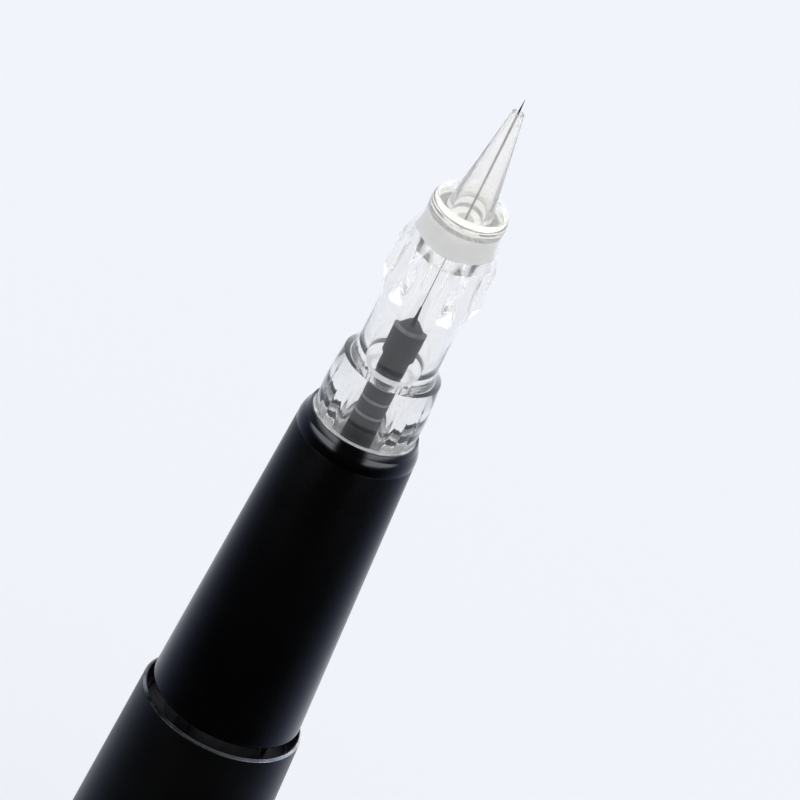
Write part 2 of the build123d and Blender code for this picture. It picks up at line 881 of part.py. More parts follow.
# ================================================================ tip
with BuildPart() as cartridge_tip:
    z_floor = z_tip_seat + dish_floor
    z_crest = z_tip_seat + rim_height
    z_rim_groove = z_tip_seat + rim_groove_up
    with BuildSketch(Plane.XZ):
        with BuildLine():
            Polyline(
                (cone_base_r - cone_wall, z_tip_seat - tip_spigot),
                (socket_r - seat_gap, z_tip_seat - tip_spigot),
                (socket_r - seat_gap, z_tip_seat),
                (rim_r, z_tip_seat),
                (rim_r, z_rim_groove - rim_groove_w / 2),
                (rim_r - rim_groove, z_rim_groove),
                (rim_r, z_rim_groove + rim_groove_w / 2),
                (rim_crest_r, z_crest),
                (rim_crest_r - rim_groove, z_crest),
                (dish_r, z_floor),
                (cone_base_r, z_floor),
                (cone_tip_r, z_cone_tip),
                (cone_bore_r, z_cone_tip),
                (cone_base_r - cone_wall, z_floor),
                close=True,
            )
        make_face()
    revolve(axis=Axis.Z)

with BuildPart() as tip_insert:
    with BuildSketch(Plane.XY.offset(z_tip_seat - tip_spigot - insert_len)):
        Circle(socket_r - seat_gap)
        Circle(insert_bore_r, mode=Mode.SUBTRACT)
    extrude(amount=insert_len)

# ================================================================ plunger and needle
with BuildPart() as plunger:
    with BuildSketch(Plane.XZ):
        with BuildLine():
            Polyline(
                (0, z_bar_end),
                (tail_r, z_bar_end),
                (tail_r, z_bar_end + tail_reach),
                (plunger_r, z_bar_end + tail_reach),
                (plunger_r, z_mouth + grooves[-1]),
                (plunger_neck_r, z_mouth + grooves[-1]),
                (plunger_neck_r, z_mouth + head_base),
                (head_r, z_mouth + head_base),
                (head_r, z_mouth + head_top - head_edge),
                (head_r - head_edge, z_mouth + head_top),
                (needle_r + seat_gap, z_mouth + head_top),
                (needle_r + seat_gap, z_mouth + head_top - needle_grip),
                (0, z_mouth + head_top - needle_grip),
                close=True,
            )
        make_face()
        for height in grooves:
            with Locations((plunger_r, z_mouth + height)):
                Rectangle(2 * groove_depth, groove_w, mode=Mode.SUBTRACT)
    revolve(axis=Axis.Z)

with BuildPart() as needle:
    z_point = z_cone_tip + needle_out
    with BuildSketch(Plane.XZ):
        with BuildLine():
            Polyline(
                (0, z_mouth + head_top - needle_grip),
                (needle_r, z_mouth + head_top - needle_grip),
                (needle_r, z_point - needle_taper),
                (needle_point_r, z_point),
                (0, z_point),
                close=True,
            )
        make_face()
    revolve(axis=Axis.Z)

with BuildPart() as needle_collar:
    with BuildSketch(Plane.XY.offset(z_mouth + head_top)):
        Circle(collar_r)
        Circle(needle_r + seat_gap, mode=Mode.SUBTRACT)
    extrude(amount=collar_len)

# ================================================================ export
pieces = {
    "barrel_shell": barrel_shell,
    "rear_cap": rear_cap,
    "cap_seal_ring": cap_seal_ring,
    "liner_tube": liner_tube,
    "inlet_sleeve": inlet_sleeve,
    "inlet_insulator": inlet_insulator,
    "inlet_contact": inlet_contact,
    "inlet_nut": inlet_nut,
    "ground_tag": ground_tag,
    "leads": leads,
    "motor_can": motor_can,
    "motor_end_bell": motor_end_bell,
    "motor_bearings": motor_bearings,
    "motor_magnet": motor_magnet,
    "motor_brushes": motor_brushes,
    "motor_terminals": motor_terminals,
    "motor_screws": motor_screws,
    "motor_shaft": motor_shaft,
    "motor_winding": motor_winding,
    "motor_commutator": motor_commutator,
    "swash_cam": swash_cam,
    "cam_set_screw": cam_set_screw,
    "drive_frame": drive_frame,
    "guide_bush": guide_bush,
    "friction_ring": friction_ring,
    "drive_bar": drive_bar,
    "cam_follower": cam_follower,
    "anti_turn_pin": anti_turn_pin,
    "return_spring": return_spring,
    "click_ring": click_ring,
    "detent_ball": detent_ball,
    "detent_spring": detent_spring,
    "retaining_ring": retaining_ring,
    "grip_shell": grip_shell,
    "thread_sleeve": thread_sleeve,
    "cartridge_seat": cartridge_seat,
    "seat_grip_ring": seat_grip_ring,
    "nose_ring": nose_ring,
    "cartridge_shell": cartridge_shell,
    "membrane": membrane,
    "cartridge_tip": cartridge_tip,
    "tip_insert": tip_insert,
    "plunger": plunger,
    "needle": needle,
    "needle_collar": needle_collar,
}

for label, piece in pieces.items():
    piece.part.label = label
    export_step(piece.part, f"parts/{label}.step")

print("mouth of the handle", round(z_rim, 3), "mouth of the grip", round(z_mouth, 3))
print("needle point", round(z_point, 3), "handle radius", round(handle_r, 3))
print("cam top", round(z_cam_top, 3), "follower foot", round(z_foot, 3))
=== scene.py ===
# %% [markdown]
# # A rotary cartridge pen
# The pen is a black handle, a tapered black grip that screws into it, and a clear push-in
# cartridge with a dark plunger and a steel needle. This file dresses the fixed mechanical model:
# it keeps the hidden pieces, gives each its finish, and models the visible skins again with
# softened edges.

from math import atan2, cos, exp, hypot, pi, radians, sin, sqrt

import bmesh
import bpy
from mathutils import Matrix, Vector


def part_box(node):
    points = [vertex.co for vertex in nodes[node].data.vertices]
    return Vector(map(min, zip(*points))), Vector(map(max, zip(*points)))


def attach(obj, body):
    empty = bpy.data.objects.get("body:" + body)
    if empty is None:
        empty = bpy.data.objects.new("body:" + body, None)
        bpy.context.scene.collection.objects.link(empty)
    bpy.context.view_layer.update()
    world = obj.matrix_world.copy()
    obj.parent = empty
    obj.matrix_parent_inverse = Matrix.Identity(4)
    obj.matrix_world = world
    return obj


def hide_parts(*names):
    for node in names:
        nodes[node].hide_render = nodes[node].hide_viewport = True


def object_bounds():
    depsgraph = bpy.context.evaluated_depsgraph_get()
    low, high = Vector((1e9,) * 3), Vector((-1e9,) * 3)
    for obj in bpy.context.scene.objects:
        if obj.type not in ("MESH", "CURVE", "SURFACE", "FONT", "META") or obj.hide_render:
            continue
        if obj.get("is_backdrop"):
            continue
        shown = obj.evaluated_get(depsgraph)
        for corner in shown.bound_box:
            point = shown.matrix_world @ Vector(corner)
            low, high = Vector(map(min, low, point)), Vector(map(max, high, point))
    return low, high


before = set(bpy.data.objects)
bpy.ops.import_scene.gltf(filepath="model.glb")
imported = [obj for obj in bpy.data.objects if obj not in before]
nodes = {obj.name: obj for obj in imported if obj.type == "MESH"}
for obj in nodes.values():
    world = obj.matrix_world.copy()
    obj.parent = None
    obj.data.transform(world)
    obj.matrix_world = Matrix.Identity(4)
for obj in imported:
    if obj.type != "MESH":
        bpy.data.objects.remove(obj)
cad_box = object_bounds()
print("mechanical pieces:", len(nodes))

# %% [markdown]
# ## Measuring from the model
# Everything is drawn in millimetres and scaled once, because a pen is easier to think about that
# way. Sizes could be typed in, but heights and radii are read from the mechanical pieces where
# they can be, so that a skin always lands on its piece.

# %% Millimetres, heights and radii
MM = 0.001


def top(node):
    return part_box(node)[1].z / MM


def base(node):
    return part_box(node)[0].z / MM


def radius(node):
    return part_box(node)[1].x / MM


rim_z = top("barrel_shell")
mouth_z = top("nose_ring")
point_z = top("needle")
for label, height in (("handle mouth", rim_z), ("grip mouth", mouth_z), ("needle point", point_z)):
    print(label, round(height, 2))

# %% [markdown]
# ## The camera
# The pen stands on its rear face. A near camera would make its sides run together, so this one
# looks down by 30 degrees from far away through a long lens, and is rolled so that the pen leans
# to the right.

# %% Camera
VIEW_DOWN = radians(30)
VIEW_ROLL = radians(26.565)
VIEW_DISTANCE = 1600.0
VIEW_WIDTH = 100.0
SENSOR = 36.0
AIM_RIGHT = 2.76
AIM_ABOVE_MOUTH = 4.83

aim = Vector((AIM_RIGHT, 0, mouth_z + AIM_ABOVE_MOUTH)) * MM
forward = Vector((0, cos(VIEW_DOWN), -sin(VIEW_DOWN)))
level = Matrix((
    (1, 0, 0),
    (0, sin(VIEW_DOWN), -cos(VIEW_DOWN)),
    (0, cos(VIEW_DOWN), sin(VIEW_DOWN)),
))
camera_data = bpy.data.cameras.new("camera")
camera_data.sensor_width = SENSOR
camera_data.lens = SENSOR * VIEW_DISTANCE / VIEW_WIDTH
camera_data.clip_start = 0.05
camera_data.clip_end = 50
camera = bpy.data.objects.new("camera", camera_data)
bpy.context.scene.collection.objects.link(camera)
turn = level @ Matrix.Rotation(VIEW_ROLL, 3, "Z")
camera.matrix_world = Matrix.Translation(aim - forward * VIEW_DISTANCE * MM) @ turn.to_4x4()
bpy.context.scene.camera = camera
print("lens", round(camera_data.lens, 1))

# %% [markdown]
# ## The studio
# Satin black metal shows only what it reflects. It needs a dark room in front, so that its middle
# stays black, and brightness that grows smoothly towards the back, so that its sides light up
# softly. Clear plastic is the opposite: it shows what is behind it, so it wants an even pale room.
# Lamps and cards could do this, but they would also light the paper. So the sky does it, and gives
# reflections a ramp from front to back, and everything else an even dome.

# %% Helpers for shader nodes
scene = bpy.context.scene
scene.view_settings.view_transform = "Standard"
scene.cycles.max_bounces = 24
scene.cycles.transmission_bounces = 20
scene.cycles.glossy_bounces = 8


def add_node(tree, kind, **settings):
    node = tree.nodes.new(kind)
    for key, value in settings.items():
        if key.startswith("in_"):
            node.inputs[int(key[3:])].default_value = value
        else:
            setattr(node, key, value)
    return node


def feed(tree, socket, value):
    if isinstance(value, (int, float, tuple)):
        socket.default_value = value
    elif value is not None:
        tree.links.new(value, socket)


def math_node(tree, operation, first, second=None):
    node = add_node(tree, "ShaderNodeMath", operation=operation)
    feed(tree, node.inputs[0], first)
    feed(tree, node.inputs[1], second)
    return node.outputs[0]


def ramp(tree, value, low, high, to_low=0.0, to_high=1.0, smooth=True):
    kind = "SMOOTHSTEP" if smooth else "LINEAR"
    node = add_node(tree, "ShaderNodeMapRange", interpolation_type=kind)
    tree.links.new(value, node.inputs[0])
    for socket, number in zip(node.inputs[1:5], (low, high, to_low, to_high)):
        socket.default_value = number
    return node.outputs[0]


def mix_colour(tree, share, first, second):
    node = add_node(tree, "ShaderNodeMix", data_type="RGBA")
    feed(tree, node.inputs[0], share)
    feed(tree, node.inputs[6], first)
    feed(tree, node.inputs[7], second)
    return node.outputs[2]


print("light bounces:", scene.cycles.max_bounces)

# %% Sky
BACKDROP = (0.886, 0.903, 0.962, 1)
DOME = (0.93, 0.955, 1.0, 1)
COOL = (0.72, 0.86, 1.28, 1)
PLAIN = (0.94, 0.965, 1.05, 1)
DOME_LIGHT = 1.2
DOME_TOP = 0.10
DOME_BACK = 0.25
RAMP_POWER = 3.0
RAMP_LIGHT = 1.0
LEFT_SIDE, RIGHT_SIDE = 0.85, 1.15

world = bpy.data.worlds.new("studio")
scene.world = world
world.use_nodes = True
sky = world.node_tree
sky.nodes.clear()
ray_way = add_node(sky, "ShaderNodeTexCoord").outputs["Generated"]
direction = add_node(sky, "ShaderNodeSeparateXYZ")
sky.links.new(ray_way, direction.inputs[0])
behind = ramp(sky, direction.outputs["Y"], -0.87, 0.87, smooth=False)
back_light = math_node(sky, "MULTIPLY", math_node(sky, "POWER", behind, RAMP_POWER), RAMP_LIGHT)
sides = ramp(sky, direction.outputs["X"], -0.9, 0.9, LEFT_SIDE, RIGHT_SIDE, smooth=False)
back_light = math_node(sky, "MULTIPLY", back_light, sides)

# %% Soft boxes, and which rays see what
BOX_LOW = 0.10
BOX_HIGH = 0.42
BOX_BLUR = 0.08
BOX_LIGHT = 1.8
LEFT_BOX = (-0.86, -0.50, 0.12)
RIGHT_BOX = (0.87, -0.42, 0.12)


def sky_box(towards):
    """A wide low soft light above the horizon, for reflections only."""
    aligned = add_node(sky, "ShaderNodeVectorMath", operation="DOT_PRODUCT")
    sky.links.new(ray_way, aligned.inputs[0])
    aligned.inputs[1].default_value = Vector(towards).normalized()
    across = ramp(sky, aligned.outputs["Value"], 0.80, 0.88, 0.0, BOX_LIGHT)
    above = ramp(sky, direction.outputs["Z"], BOX_LOW, BOX_LOW + BOX_BLUR)
    below = ramp(sky, direction.outputs["Z"], BOX_HIGH, BOX_HIGH + BOX_BLUR, 1.0, 0.0)
    return math_node(sky, "MULTIPLY", across, math_node(sky, "MULTIPLY", above, below))


both_boxes = math_node(sky, "ADD", sky_box(LEFT_BOX), sky_box(RIGHT_BOX))
mirror_colour = mix_colour(sky, ramp(sky, behind, 0.6, 1.0), COOL, PLAIN)

mirrored = add_node(sky, "ShaderNodeBackground")
sky.links.new(mirror_colour, mirrored.inputs[0])
sky.links.new(back_light, mirrored.inputs[1])
boxes = add_node(sky, "ShaderNodeBackground", in_0=PLAIN)
sky.links.new(both_boxes, boxes.inputs[1])
mirrored_all = add_node(sky, "ShaderNodeAddShader")
sky.links.new(mirrored.outputs[0], mirrored_all.inputs[0])
sky.links.new(boxes.outputs[0], mirrored_all.inputs[1])
slope = math_node(sky, "MULTIPLY", direction.outputs["Y"], DOME_BACK)
rise = math_node(sky, "MULTIPLY", direction.outputs["Z"], DOME_TOP)
even = math_node(sky, "ADD", math_node(sky, "ADD", slope, rise), DOME_LIGHT)
around = add_node(sky, "ShaderNodeBackground", in_0=DOME)
sky.links.new(even, around.inputs[1])
seen = add_node(sky, "ShaderNodeBackground", in_0=BACKDROP)
ray = add_node(sky, "ShaderNodeLightPath")
world_shader = around.outputs[0]
answers = {"Is Glossy Ray": mirrored_all, "Is Transmission Ray": around, "Is Camera Ray": seen}
for question, answer in answers.items():
    choose = add_node(sky, "ShaderNodeMixShader")
    sky.links.new(ray.outputs[question], choose.inputs[0])
    sky.links.new(world_shader, choose.inputs[1])
    sky.links.new(answer.outputs[0], choose.inputs[2])
    world_shader = choose.outputs[0]
sky.links.new(world_shader, add_node(sky, "ShaderNodeOutputWorld").inputs[0])
print("sky nodes:", len(sky.nodes))

# %% [markdown]
# ## The floor
# A wide sheet of pale paper runs out to where it meets the backdrop. The backdrop could be a
# curved sweep, but a flat sheet of the same colour shows no edge either, and needs only one face.
# Mirror reflections look past it, so that the underside light stays soft.

# %% Floor
FLOOR_HALF = 6.0
PAPER_DARK = (0.748, 0.744, 0.757, 1)
PAPER_LIGHT = (0.756, 0.752, 0.765, 1)
FIBRES = 900

floor_mesh = bmesh.new()
bmesh.ops.create_grid(floor_mesh, x_segments=1, y_segments=1, size=FLOOR_HALF)
floor_data = bpy.data.meshes.new("floor")
floor_mesh.to_mesh(floor_data)
floor_mesh.free()
floor = bpy.data.objects.new("floor", floor_data)
scene.collection.objects.link(floor)
floor.visible_glossy = False
floor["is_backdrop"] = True
paper = bpy.data.materials.new("pale_paper")
paper.use_nodes = True
sheet = paper.node_tree
shade = sheet.nodes["Principled BSDF"]
shade.inputs["Roughness"].default_value = 0.9
shade.inputs["Specular IOR Level"].default_value = 0.1
grain = add_node(sheet, "ShaderNodeTexNoise")
grain.inputs["Scale"].default_value = FIBRES
sheet.links.new(add_node(sheet, "ShaderNodeTexCoord").outputs["Object"], grain.inputs["Vector"])
paper_colour = mix_colour(sheet, grain.outputs["Fac"], PAPER_DARK, PAPER_LIGHT)
sheet.links.new(paper_colour, shade.inputs["Base Color"])
floor_data.materials.append(paper)
print("paper", 2 * FLOOR_HALF, "m wide")

# %% [markdown]
# ## Shared surface effects
# Grain, turning marks, dust and mould waves come back in many finishes. They could be built anew
# in each one, but a node group with its own inputs is built once and tuned where it is used. A
# group gives out masks and heights only, and the finish decides what they drive.

# %% Group helpers


def new_group(name, inputs, outputs):
    group = bpy.data.node_groups.new(name, "ShaderNodeTree")
    for label, kind, value in inputs:
        socket = group.interface.new_socket(label, in_out="INPUT", socket_type=kind)
        if value is not None:
            socket.default_value = value
    for label in outputs:
        group.interface.new_socket(label, in_out="OUTPUT", socket_type="NodeSocketFloat")
    start = group.nodes.new("NodeGroupInput")
    end = group.nodes.new("NodeGroupOutput")
    return group, start, end


def noise(tree, vector, scale, detail=3.0, roughness=0.5):
    node = add_node(tree, "ShaderNodeTexNoise")
    tree.links.new(vector, node.inputs["Vector"])
    node.inputs["Detail"].default_value = detail
    node.inputs["Roughness"].default_value = roughness
    if isinstance(scale, (int, float)):
        node.inputs["Scale"].default_value = scale
    else:
        tree.links.new(scale, node.inputs["Scale"])
    return node.outputs["Fac"]


# %% Groups
# A blasted and anodised skin: grains a few hundredths of a millimetre across, and cloudy patches
# where hands have polished it.
blasted, start, end = new_group(
    "blasted_skin",
    [("Position", "NodeSocketVector", None), ("Grain", "NodeSocketFloat", 26000.0),
     ("Patches", "NodeSocketFloat", 90.0)],
    ["Height", "Polish"],
)
grains = noise(blasted, start.outputs["Position"], start.outputs["Grain"], 2.0)
blasted.links.new(grains, end.inputs["Height"])
patches = noise(blasted, start.outputs["Position"], start.outputs["Patches"], 4.0, 0.6)
blasted.links.new(ramp(blasted, patches, 0.35, 0.7), end.inputs["Polish"])

# Turning marks: rings round the pen's axis with an uneven pitch.
turned, start, end = new_group(
    "turned_rings",
    [("Position", "NodeSocketVector", None), ("Rings per metre", "NodeSocketFloat", 9000.0)],
    ["Height"],
)
parts = add_node(turned, "ShaderNodeSeparateXYZ")
turned.links.new(start.outputs["Position"], parts.inputs[0])
along = add_node(turned, "ShaderNodeCombineXYZ")
turned.links.new(parts.outputs["Z"], along.inputs["Z"])
lathe = noise(turned, along.outputs[0], start.outputs["Rings per metre"], 3.0, 0.7)
turned.links.new(lathe, end.inputs["Height"])

# Sparse specks of dust and tiny scratches.
specks, start, end = new_group(
    "dust_specks",
    [("Position", "NodeSocketVector", None), ("Density", "NodeSocketFloat", 1400.0),
     ("Amount", "NodeSocketFloat", 0.5)],
    ["Mask"],
)
cells = add_node(specks, "ShaderNodeTexVoronoi")
specks.links.new(start.outputs["Position"], cells.inputs["Vector"])
specks.links.new(start.outputs["Density"], cells.inputs["Scale"])
dot = ramp(specks, cells.outputs["Distance"], 0.06, 0.02)
chosen = noise(specks, start.outputs["Position"], 700.0, 2.0)
rare = ramp(specks, chosen, 0.62, 0.7)
both = math_node(specks, "MULTIPLY", dot, rare)
specks.links.new(math_node(specks, "MULTIPLY", both, start.outputs["Amount"]), end.inputs["Mask"])

# Moulded plastic: a slow waviness from the mould and faint flow lines along the pen.
moulded, start, end = new_group(
    "moulded_waves",
    [("Position", "NodeSocketVector", None), ("Waves", "NodeSocketFloat", 260.0)],
    ["Height", "Flow"],
)
waves = noise(moulded, start.outputs["Position"], start.outputs["Waves"], 1.0)
moulded.links.new(waves, end.inputs["Height"])
stretch = add_node(moulded, "ShaderNodeMapping")
stretch.inputs["Scale"].default_value = (1.0, 1.0, 0.12)
moulded.links.new(start.outputs["Position"], stretch.inputs["Vector"])
moulded.links.new(noise(moulded, stretch.outputs[0], 900.0, 2.0), end.inputs["Flow"])
print("effects:", [group.name for group in bpy.data.node_groups])

# %% [markdown]
# ## Finishes
# One flat value for each material would look like paint. So a finish is a Principled shader with
# the constants of its material, and one or two effects that move its roughness, colour and surface
# a little, as the real one varies. A small class keeps the shader and its coordinates together.

# %% Finish helpers


class Finish:
    """A material being built, with its shader and its object coordinates at hand."""

    def __init__(self, name, colour, rough, metal=0.0, **constants):
        self.material = bpy.data.materials.new(name)
        self.material.use_nodes = True
        self.tree = self.material.node_tree
        self.shader = self.tree.nodes["Principled BSDF"]
        self.shader.inputs["Base Color"].default_value = (*colour, 1)
        self.shader.inputs["Roughness"].default_value = rough
        self.shader.inputs["Metallic"].default_value = metal
        for label, value in constants.items():
            self.shader.inputs[label.replace("_", " ")].default_value = value
        self.place = add_node(self.tree, "ShaderNodeTexCoord").outputs["Object"]

    def effect(self, group, **values):
        node = add_node(self.tree, "ShaderNodeGroup", node_tree=group)
        self.tree.links.new(self.place, node.inputs["Position"])
        for label, value in values.items():
            node.inputs[label.replace("_", " ")].default_value = value
        return node.outputs

    def bump(self, height, depth_mm):
        node = add_node(self.tree, "ShaderNodeBump")
        node.inputs["Strength"].default_value = 1.0
        node.inputs["Distance"].default_value = depth_mm * MM
        self.tree.links.new(height, node.inputs["Height"])
        self.tree.links.new(node.outputs[0], self.shader.inputs["Normal"])

    def vary_rough(self, mask, low, high):
        rough = ramp(self.tree, mask, 0.0, 1.0, low, high, smooth=False)
        self.tree.links.new(rough, self.shader.inputs["Roughness"])

    def vary_colour(self, mask, first, second):
        colour = mix_colour(self.tree, mask, (*first, 1), (*second, 1))
        self.tree.links.new(colour, self.shader.inputs["Base Color"])


# %% [markdown]
# ### Black anodised aluminium
# The handle and grip are blasted and dyed black: almost no colour of their own, a satin gloss, a
# grain too fine to see and faintly polished patches. Anodising is a glassy oxide over metal. It
# could be a dark metal under a coat, but a black base with plain gloss looks the same and is
# simpler. The nose ring is turned finer and shines more.

# %% Black metals
BLACK_DYE = (0.0003, 0.0003, 0.0006)
DUST = (0.30, 0.31, 0.33)


def blasted_black(name, dull, handled, grains_per_metre, grain_mm):
    finish = Finish(name, BLACK_DYE, dull, Specular_IOR_Level=0.5)
    skin = finish.effect(blasted, Grain=grains_per_metre)
    finish.vary_rough(skin["Polish"], dull, handled)
    finish.bump(skin["Height"], grain_mm)
    dust = finish.effect(specks, Amount=0.35)
    finish.vary_colour(dust["Mask"], BLACK_DYE, DUST)
    return finish


anodised = blasted_black("black_anodised", 0.29, 0.24, 26000.0, 0.0012)
coarse = blasted_black("black_anodised_coarse", 0.39, 0.33, 20000.0, 0.0014)

polished = Finish("black_polished", BLACK_DYE, 0.18, Specular_IOR_Level=1.0)
marks = polished.effect(turned, Rings_per_metre=14000.0)
polished.bump(marks["Height"], 0.0008)
worn = polished.effect(blasted, Patches=160.0)
polished.vary_rough(worn["Polish"], 0.2, 0.15)

cut_edge = Finish("cut_edge", (0.6, 0.6, 0.6), 0.25, 1.0)
marks = cut_edge.effect(turned, Rings_per_metre=40000.0)
cut_edge.bump(marks["Height"], 0.003)
worn = cut_edge.effect(blasted, Patches=240.0)
across = add_node(cut_edge.tree, "ShaderNodeSeparateXYZ")
cut_edge.tree.links.new(cut_edge.place, across.inputs[0])
handled = ramp(cut_edge.tree, across.outputs["X"], -0.008, 0.006, 0.0, 0.55)
patchy = math_node(cut_edge.tree, "MULTIPLY", worn["Polish"], 0.45)
bare = math_node(cut_edge.tree, "ADD", patchy, handled)
cut_edge.vary_colour(bare, (0.01, 0.01, 0.012), (0.80, 0.80, 0.79))
print("black metals: 3, and their cut edge")

# %% [markdown]
# ### Clear, milky and dark plastics
# The cartridge is polycarbonate, which bends light strongly. Light could reach what is inside by
# caustics, but they are slow and grainy, so the finish lets shadow rays pass instead. The insert
# is the same resin with a white filler, and the plunger is charcoal with a soft sheen.

# %% Clear plastics
CLEAR_IOR = 1.585


def clear_finish(name, tint, rough, clearness, waves_mm):
    """Clear resin. What isn't clearness scatters, as a matt mould face or a haze does."""
    finish = Finish(name, tint, rough, IOR=CLEAR_IOR, Transmission_Weight=clearness)
    waves = finish.effect(moulded)
    finish.vary_rough(waves["Flow"], rough * 0.6, rough * 1.4)
    finish.bump(waves["Height"], waves_mm)
    tree = finish.tree
    through = add_node(tree, "ShaderNodeBsdfTransparent", in_0=(0.95, 0.955, 0.95, 1))
    pick = add_node(tree, "ShaderNodeMixShader")
    tree.links.new(add_node(tree, "ShaderNodeLightPath").outputs["Is Shadow Ray"], pick.inputs[0])
    tree.links.new(finish.shader.outputs[0], pick.inputs[1])
    tree.links.new(through.outputs[0], pick.inputs[2])
    tree.links.new(pick.outputs[0], tree.nodes["Material Output"].inputs[0])
    return finish


clear = clear_finish("clear_plastic_polished", (0.995, 0.995, 0.985), 0.015, 0.99, 0.015)
soft_clear = clear_finish("clear_plastic_soft", (0.995, 0.99, 0.975), 0.05, 0.95, 0.015)
hazy = clear_finish("clear_plastic_hazy", (1.0, 0.99, 0.965), 0.10, 0.88, 0.02)
matt = clear_finish("clear_plastic_matt", (0.97, 0.97, 0.96), 0.5, 0.25, 0.02)
clear_tip = clear_finish("clear_tip_plastic", (1.0, 0.99, 0.97), 0.07, 0.87, 0.008)

# %% Filled plastics, rubber and wire
milky = Finish("milky_plastic", (0.97, 0.955, 0.92), 0.45, IOR=1.45)
flow = milky.effect(moulded, Waves=500.0)
milky.vary_colour(flow["Flow"], (0.94, 0.92, 0.875), (1.0, 0.99, 0.965))

charcoal = Finish("charcoal_plastic", (0.015, 0.016, 0.02), 0.5, Specular_IOR_Level=0.2)
flow = charcoal.effect(moulded, Waves=300.0)
charcoal.vary_rough(flow["Height"], 0.38, 0.55)
charcoal.vary_colour(flow["Flow"], (0.005, 0.006, 0.008), (0.012, 0.013, 0.017))

# Painted edge highlight with some scuff wear: a lighter charcoal for the plunger head's top
# chamfer.
scuffs_and_edge_highlight = Finish("charcoal_scuffs_and_painted_highlight", (0.09, 0.095, 0.105), 0.55)
flow = scuffs_and_edge_highlight.effect(moulded, Waves=900.0)
scuffs_and_edge_highlight.vary_colour(flow["Flow"], (0.03, 0.033, 0.04), (0.16, 0.165, 0.18))

# Painted highlight with the wiper rings' grey: a lighter grey for the plunger's groove floors.
wiper_grey_and_painted_highlight = Finish("wiper_grey_and_painted_highlight", (0.30, 0.31, 0.32), 0.5)
flow = wiper_grey_and_painted_highlight.effect(moulded, Waves=800.0)
wiper_grey_and_painted_highlight.vary_colour(flow["Flow"], (0.24, 0.25, 0.26), (0.36, 0.37, 0.38))

silicone = Finish(
    "silicone", (0.82, 0.83, 0.82), 0.45, Subsurface_Weight=0.6, Subsurface_Scale=0.001,
)
flow = silicone.effect(moulded, Waves=800.0)
silicone.vary_rough(flow["Flow"], 0.38, 0.55)

grey_resin = Finish("grey_resin", (0.16, 0.165, 0.175), 0.5)
flow = grey_resin.effect(moulded, Waves=900.0)
grey_resin.vary_colour(flow["Flow"], (0.13, 0.135, 0.145), (0.19, 0.195, 0.205))
grey_resin.bump(flow["Height"], 0.01)

black_resin = Finish("black_resin", (0.012, 0.012, 0.013), 0.45)
flow = black_resin.effect(moulded, Waves=1200.0)
black_resin.vary_rough(flow["Flow"], 0.38, 0.55)

rubber = Finish("black_rubber", (0.013, 0.013, 0.013), 0.7)
skin = rubber.effect(blasted, Grain=16000.0)
rubber.vary_rough(skin["Polish"], 0.62, 0.8)
rubber.bump(skin["Height"], 0.006)

lead_skin = Finish("red_wire", (0.45, 0.02, 0.015), 0.42)
flow = lead_skin.effect(moulded, Waves=1200.0)
lead_skin.vary_colour(flow["Flow"], (0.38, 0.015, 0.012), (0.52, 0.03, 0.02))
print("materials so far:", len(bpy.data.materials))

# %% [markdown]
# ### Bare metals
# The hidden works are turned, drawn and wound from ordinary metals. Each could be built by hand,
# but they differ only in colour and in how coarse their marks are, so one function makes them all.

# %% Metals


def bare_metal(name, dark, bright, rough, rings, depth_mm):
    finish = Finish(name, bright, rough, 1.0)
    marks = finish.effect(turned, Rings_per_metre=rings)
    finish.bump(marks["Height"], depth_mm)
    patch = finish.effect(blasted, Patches=300.0)
    finish.vary_colour(patch["Polish"], dark, bright)
    finish.vary_rough(patch["Polish"], rough * 1.3, rough * 0.8)
    return finish


steel = bare_metal("steel", (0.42, 0.42, 0.43), (0.60, 0.60, 0.61), 0.28, 12000.0, 0.002)
nickel = bare_metal("nickel", (0.55, 0.53, 0.49), (0.72, 0.70, 0.66), 0.2, 16000.0, 0.0015)
brass = bare_metal("brass", (0.58, 0.40, 0.16), (0.80, 0.60, 0.28), 0.26, 12000.0, 0.002)
aluminium = bare_metal("aluminium", (0.60, 0.60, 0.61), (0.78, 0.78, 0.79), 0.32, 9000.0, 0.003)
copper = bare_metal("copper", (0.62, 0.26, 0.13), (0.86, 0.42, 0.24), 0.34, 4000.0, 0.02)
black_steel = bare_metal(
    "black_steel", (0.02, 0.02, 0.022), (0.05, 0.05, 0.055), 0.35, 9000.0, 0.002,
)
needle_steel = bare_metal(
    "needle_steel", (0.16, 0.14, 0.125), (0.30, 0.27, 0.25), 0.24, 30000.0, 0.001,
)
bare_bore = bare_metal("bare_bore", (0.80, 0.80, 0.80), (0.92, 0.92, 0.92), 0.35, 9000.0, 0.002)
carbon = Finish("carbon", (0.02, 0.02, 0.02), 0.6)
skin = carbon.effect(blasted, Grain=9000.0)
carbon.bump(skin["Height"], 0.01)
print("materials in all:", len(bpy.data.materials))

# %% [markdown]
# ### Finishes for the kept pieces
# The mechanical pieces that stay, in view or inside, could each be given a finish by name. The
# slot that each one's record already names tells its material, so a table from slot to finish is
# enough.

# %% Give the kept pieces their finish
finish_of_slot = {
    "black_anodised": anodised,
    "black_polished": polished,
    "black_rubber": rubber,
    "grey_plastic": grey_resin,
    "nickel": nickel,
    "brass": brass,
    "red_wire": lead_skin,
    "steel": steel,
    "carbon": carbon,
    "copper": copper,
    "aluminium": aluminium,
    "black_steel": black_steel,
    "black_plastic": black_resin,
    "clear_plastic": clear,
    "milky_plastic": milky,
    "silicone": silicone,
    "charcoal_plastic": charcoal,
    "needle_steel": needle_steel,
}
for node in nodes.values():
    slot_name = node.data.materials[0].name.split(".")[0]
    node.data.materials[0] = finish_of_slot[slot_name].material
print("finished slots:", len(finish_of_slot))

